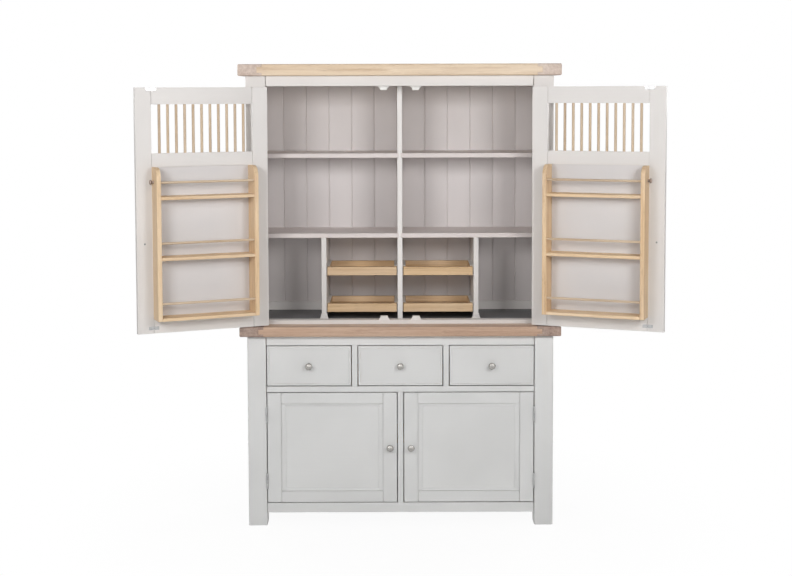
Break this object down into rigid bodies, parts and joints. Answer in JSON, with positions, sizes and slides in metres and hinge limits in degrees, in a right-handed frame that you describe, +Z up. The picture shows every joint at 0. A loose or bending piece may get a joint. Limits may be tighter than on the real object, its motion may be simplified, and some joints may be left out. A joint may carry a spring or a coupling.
{
  "type": "welsh dresser",
  "caption": "Painted kitchen dresser with oak tops: a drawer and cupboard base under a hutch with grille doors, door spice racks, shelves and pull-out trays.",
  "frame": {"origin": "on the floor, at the centre of the base's four-legged footprint", "axes": "+X to the dresser's right-hand side seen from the front, +Y to the wall behind, +Z up"},
  "size_m": [2.0347, 0.6694, 1.848],
  "materials": {
    "grey_paint": "satin painted wood, pale warm grey",
    "oak": "pale limed oak, matt lacquer",
    "drawer_wood": "bare wood",
    "slate_paint": "dark slate-grey laminate on board",
    "pewter": "satin pewter",
    "steel": "satin steel",
    "dark_metal": "dark bronzed metal",
    "white_plastic": "white moulded plastic"
  },
  "bodies": {
    "carcase": {"back_boards": "grey_paint", "base_floor": "grey_paint", "base_legs": "grey_paint", "base_panels": "grey_paint", "base_rails_and_stiles": "grey_paint", "breadboard_ends": "oak", "centre_divider": "grey_paint", "cupboard_shelf": "drawer_wood", "divider_brackets": "grey_paint", "drawer_runners": "drawer_wood", "frame_hinge_leaves": "steel", "hinge_pins": "steel", "hutch_floor": "slate_paint", "hutch_posts": "grey_paint", "hutch_rails": "grey_paint", "hutch_shelves": "grey_paint", "hutch_sides": "grey_paint", "magnetic_catches": "white_plastic", "top_panel": "oak", "tray_dividers": "grey_paint", "tray_runners": "white_plastic", "worktop_panel": "oak"},
    "left_hutch_door": {"left_hutch_door_frame": "grey_paint", "left_hutch_door_hinge_leaves": "steel", "left_hutch_door_knob": "pewter", "left_hutch_door_panel": "grey_paint", "left_hutch_door_spindles": "oak", "left_hutch_door_strikes": "steel", "left_spice_rack": "oak", "left_spice_rack_peg": "dark_metal"},
    "left_cupboard_door": {"left_cupboard_door_frame": "grey_paint", "left_cupboard_door_hinge_leaves": "steel", "left_cupboard_door_knob": "pewter", "left_cupboard_door_panel": "grey_paint"},
    "left_upper_tray": {"left_upper_tray": "oak"},
    "left_lower_tray": {"left_lower_tray": "oak"},
    "right_hutch_door": {"right_hutch_door_frame": "grey_paint", "right_hutch_door_hinge_leaves": "steel", "right_hutch_door_knob": "pewter", "right_hutch_door_panel": "grey_paint", "right_hutch_door_spindles": "oak", "right_hutch_door_strikes": "steel", "right_spice_rack": "oak", "right_spice_rack_peg": "dark_metal"},
    "right_cupboard_door": {"right_cupboard_door_frame": "grey_paint", "right_cupboard_door_hinge_leaves": "steel", "right_cupboard_door_knob": "pewter", "right_cupboard_door_panel": "grey_paint"},
    "right_upper_tray": {"right_upper_tray": "oak"},
    "right_lower_tray": {"right_lower_tray": "oak"},
    "left_drawer": {"left_drawer_box": "drawer_wood", "left_drawer_front": "grey_paint", "left_drawer_knob": "pewter"},
    "middle_drawer": {"middle_drawer_box": "drawer_wood", "middle_drawer_front": "grey_paint", "middle_drawer_knob": "pewter"},
    "right_drawer": {"right_drawer_box": "drawer_wood", "right_drawer_front": "grey_paint", "right_drawer_knob": "pewter"}
  },
  "joints": [
    {"name": "left_hutch_door_hinge", "type": "hinge", "parent": "carcase", "child": "left_hutch_door", "pos_m": [-0.53025, -0.1864, 0.808], "axis": [0, 0, -1], "range_deg": [-156.7, 13.3]},
    {"name": "left_cupboard_door_hinge", "type": "hinge", "parent": "carcase", "child": "left_cupboard_door", "pos_m": [-0.53425, -0.2114, 0.091], "axis": [0, 0, -1], "range_deg": [0, 170]},
    {"name": "right_hutch_door_hinge", "type": "hinge", "parent": "carcase", "child": "right_hutch_door", "pos_m": [0.53025, -0.1864, 0.808], "axis": [0, 0, 1], "range_deg": [-158.4, 11.6]},
    {"name": "right_cupboard_door_hinge", "type": "hinge", "parent": "carcase", "child": "right_cupboard_door", "pos_m": [0.53425, -0.2114, 0.091], "axis": [0, 0, 1], "range_deg": [0, 170]},
    {"name": "left_drawer_slide", "type": "slide", "parent": "carcase", "child": "left_drawer", "axis": [0, -1, 0], "range_m": [0, 0.27]},
    {"name": "middle_drawer_slide", "type": "slide", "parent": "carcase", "child": "middle_drawer", "axis": [0, -1, 0], "range_m": [0, 0.27]},
    {"name": "right_drawer_slide", "type": "slide", "parent": "carcase", "child": "right_drawer", "axis": [0, -1, 0], "range_m": [0, 0.27]},
    {"name": "left_upper_tray_slide", "type": "slide", "parent": "carcase", "child": "left_upper_tray", "axis": [0, -1, 0], "range_m": [0, 0.18]},
    {"name": "left_lower_tray_slide", "type": "slide", "parent": "carcase", "child": "left_lower_tray", "axis": [0, -1, 0], "range_m": [0, 0.18]},
    {"name": "right_upper_tray_slide", "type": "slide", "parent": "carcase", "child": "right_upper_tray", "axis": [0, -1, 0], "range_m": [0, 0.18]},
    {"name": "right_lower_tray_slide", "type": "slide", "parent": "carcase", "child": "right_lower_tray", "axis": [0, -1, 0], "range_m": [0, 0.18]}
  ]
}
